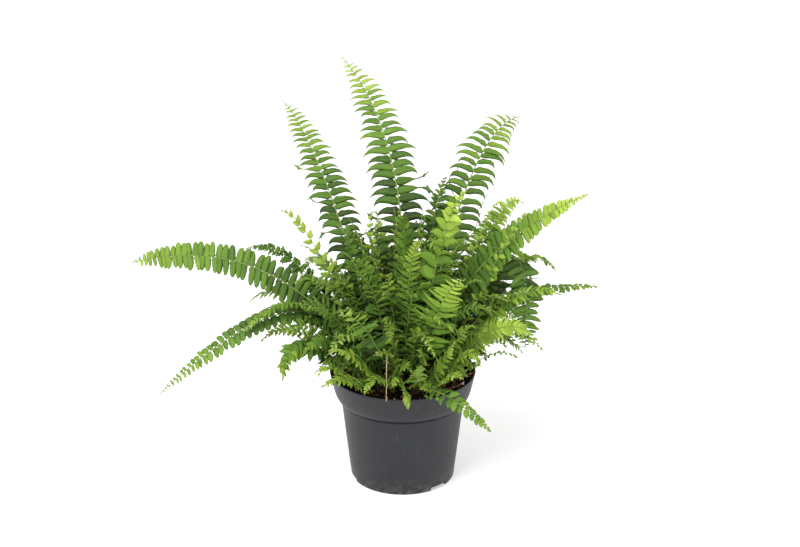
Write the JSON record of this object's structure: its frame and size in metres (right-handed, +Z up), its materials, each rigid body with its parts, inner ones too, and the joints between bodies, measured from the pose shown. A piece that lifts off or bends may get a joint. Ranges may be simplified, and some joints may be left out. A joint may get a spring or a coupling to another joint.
{
  "type": "potted fern",
  "caption": "Sword fern with upright, arching and drooping pinnate fronds growing from potting soil in a round tapered grower's pot with a wide collar and a notched foot ring.",
  "frame": {"origin": "centre of the pot's base, on the surface that it stands on", "axes": "+Z up, +X to the right and +Y away from someone who looks at the plant's front, where the low fronds spill over the rim"},
  "size_m": [0.38, 0.252, 0.342],
  "materials": {
    "pot_plastic": "dark grey injection-moulded polypropylene, satin, with a slightly dusty sheen",
    "potting_soil": "moist dark peat and composted bark with lighter grains",
    "mature_leaf": "leathery dark green leaflets with a faint gloss, pale midribs and a pale green rib",
    "fresh_leaf": "mid green leaflets, softly glossy, light showing through",
    "new_leaf": "bright yellow-green young leaflets, thin and softly translucent"
  },
  "bodies": {
    "root": {"pot": "pot_plastic", "soil": "potting_soil", "frond_back_centre": "fresh_leaf", "frond_back_left": "fresh_leaf", "frond_back_left_low": "fresh_leaf", "frond_back_right": "fresh_leaf", "frond_back_right_low": "fresh_leaf", "frond_back_rim": "new_leaf", "frond_back_rim_left": "new_leaf", "frond_back_side_left": "new_leaf", "frond_back_side_right": "fresh_leaf", "frond_back_upright_left": "fresh_leaf", "frond_back_upright_right": "fresh_leaf", "frond_centre_dark": "fresh_leaf", "frond_centre_lacy": "fresh_leaf", "frond_centre_young": "new_leaf", "frond_face_centre": "fresh_leaf", "frond_face_front": "fresh_leaf", "frond_face_left": "fresh_leaf", "frond_front_curl": "new_leaf", "frond_front_fill": "new_leaf", "frond_front_left_small": "new_leaf", "frond_front_low": "new_leaf", "frond_front_right_low": "new_leaf", "frond_front_small": "new_leaf", "frond_front_spill": "fresh_leaf", "frond_left_back": "fresh_leaf", "frond_left_crest": "new_leaf", "frond_left_droop": "fresh_leaf", "frond_left_fill": "new_leaf", "frond_left_inner": "fresh_leaf", "frond_left_lacy": "fresh_leaf", "frond_left_long": "mature_leaf", "frond_left_low": "mature_leaf", "frond_left_pale": "new_leaf", "frond_left_rim_lower": "new_leaf", "frond_left_rim_upper": "new_leaf", "frond_left_upper": "fresh_leaf", "frond_left_wisp": "new_leaf", "frond_left_young": "new_leaf", "frond_right_arch": "fresh_leaf", "frond_right_bright": "fresh_leaf", "frond_right_curl": "new_leaf", "frond_right_edge": "fresh_leaf", "frond_right_hanging": "fresh_leaf", "frond_right_long": "fresh_leaf", "frond_right_rim": "new_leaf", "frond_right_small": "new_leaf", "frond_right_tip": "fresh_leaf", "frond_right_toothed": "fresh_leaf", "frond_right_young": "new_leaf", "frond_tall_centre": "mature_leaf", "frond_tall_left": "mature_leaf", "frond_tall_right": "mature_leaf", "frond_wiry_high": "new_leaf", "frond_wiry_low": "new_leaf"}
  },
  "joints": []
}
